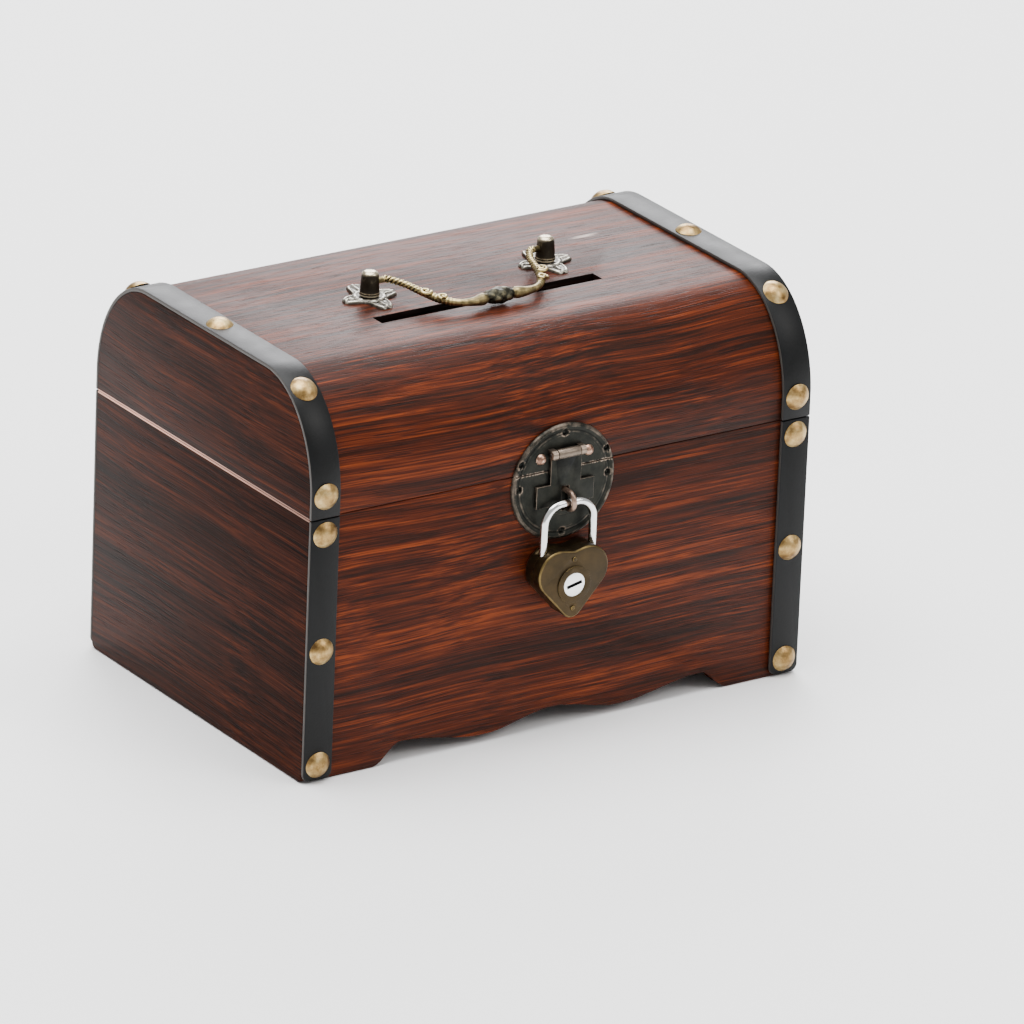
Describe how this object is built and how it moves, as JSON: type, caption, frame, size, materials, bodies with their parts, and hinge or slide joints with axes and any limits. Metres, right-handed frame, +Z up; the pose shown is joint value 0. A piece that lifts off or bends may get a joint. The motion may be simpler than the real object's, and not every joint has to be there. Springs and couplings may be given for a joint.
{
  "type": "wooden money box",
  "caption": "Small domed wooden chest money box with a coin slot in the lid, strap and stud trim, a hasp latch with a heart padlock, and a swinging bail handle.",
  "frame": {"origin": "on the surface the box stands on, under the middle of the whole object from the padlock's front to the rear studs", "axes": "+X along the front to the right as seen from the front, -Y out of the front, +Z up"},
  "size_m": [0.145, 0.106, 0.1072],
  "materials": {
    "wood_face": "satin veneer, reddish brown with dark grain",
    "wood_end": "satin veneer, darker end panels",
    "strap_leather": "smooth black faux leather",
    "stud_brass": "pale antique brass, mottled",
    "latch_bronze": "dark antique bronze, worn edges",
    "handle_bronze": "antique brass, dark in the hollows",
    "post_bronze": "dark bronze, worn bright on top",
    "lock_brass": "brushed antique brass",
    "bright_nickel": "bright plated",
    "plain_steel": "plain bright steel"
  },
  "bodies": {
    "box_body": {"body_left_end": "wood_end", "body_right_end": "wood_end", "body_front_panel": "wood_face", "body_back_panel": "wood_face", "body_bottom_panel": "wood_end", "strap_body_front_left": "strap_leather", "strap_body_front_right": "strap_leather", "strap_body_back_left": "strap_leather", "strap_body_back_right": "strap_leather", "studs_body_left": "stud_brass", "studs_body_right": "stud_brass", "hinge_left_body_leaf": "latch_bronze", "hinge_left_pin": "plain_steel", "hinge_right_body_leaf": "latch_bronze", "hinge_right_pin": "plain_steel", "hinge_body_nails": "stud_brass", "latch_bottom_plate": "latch_bronze", "latch_staple": "latch_bronze"},
    "lid": {"lid_left_end": "wood_end", "lid_right_end": "wood_end", "lid_shell": "wood_face", "strap_lid_left": "strap_leather", "strap_lid_right": "strap_leather", "studs_lid_left": "stud_brass", "studs_lid_right": "stud_brass", "hinge_left_lid_leaf": "latch_bronze", "hinge_right_lid_leaf": "latch_bronze", "hinge_lid_nails": "stud_brass", "latch_top_plate": "latch_bronze", "latch_hasp_pin": "plain_steel", "latch_nails": "stud_brass", "handle_left_rosette": "handle_bronze", "handle_right_rosette": "handle_bronze", "handle_left_post": "post_bronze", "handle_right_post": "post_bronze", "handle_nuts": "plain_steel"},
    "hasp": {"latch_hasp": "latch_bronze"},
    "bail": {"handle_bail": "handle_bronze"},
    "lock_case": {"padlock_front_shell": "lock_brass", "padlock_back_shell": "lock_brass", "padlock_rivets": "lock_brass", "padlock_spring": "plain_steel"},
    "shackle": {"padlock_shackle": "bright_nickel"},
    "key_plug": {"padlock_plug": "bright_nickel"},
    "lock_bolt": {"padlock_bolt": "plain_steel"}
  },
  "joints": [
    {"name": "lid_open", "type": "hinge", "parent": "box_body", "child": "lid", "pos_m": [0, 0.05167, 0.0681], "axis": [-1, 0, 0], "range_deg": [0, 140]},
    {"name": "hasp_flip", "type": "hinge", "parent": "lid", "child": "hasp", "pos_m": [0, -0.04782, 0.0726], "axis": [-1, 0, 0], "range_deg": [0, 150]},
    {"name": "handle_swing", "type": "hinge", "parent": "lid", "child": "bail", "pos_m": [0, 0.00232, 0.1042], "axis": [-1, 0, 0], "range_deg": [0, 190]},
    {"name": "padlock_swing", "type": "hinge", "parent": "box_body", "child": "shackle", "pos_m": [0, -0.04933, 0.06015], "axis": [-1, 0, 0], "range_deg": [0, 110]},
    {"name": "case_drop", "type": "slide", "parent": "shackle", "child": "lock_case", "axis": [0, 0, -1], "range_m": [0, 0.004]},
    {"name": "key_turn", "type": "hinge", "parent": "lock_case", "child": "key_plug", "pos_m": [0, -0.05253, 0.03997], "axis": [0, -1, 0], "range_deg": [0, 90]},
    {"name": "bolt_draw", "type": "slide", "parent": "lock_case", "child": "lock_bolt", "axis": [-1, 0, 0], "range_m": [0, 0.0034], "deforming": ["padlock_spring"]}
  ],
  "couplings": [
    {"joint": "hasp_flip", "follows": "lid_open", "ratio": 1.0714},
    {"joint": "key_turn", "follows": "case_drop", "rad_per_m": 392.69},
    {"joint": "bolt_draw", "follows": "case_drop", "ratio": 0.85}
  ]
}
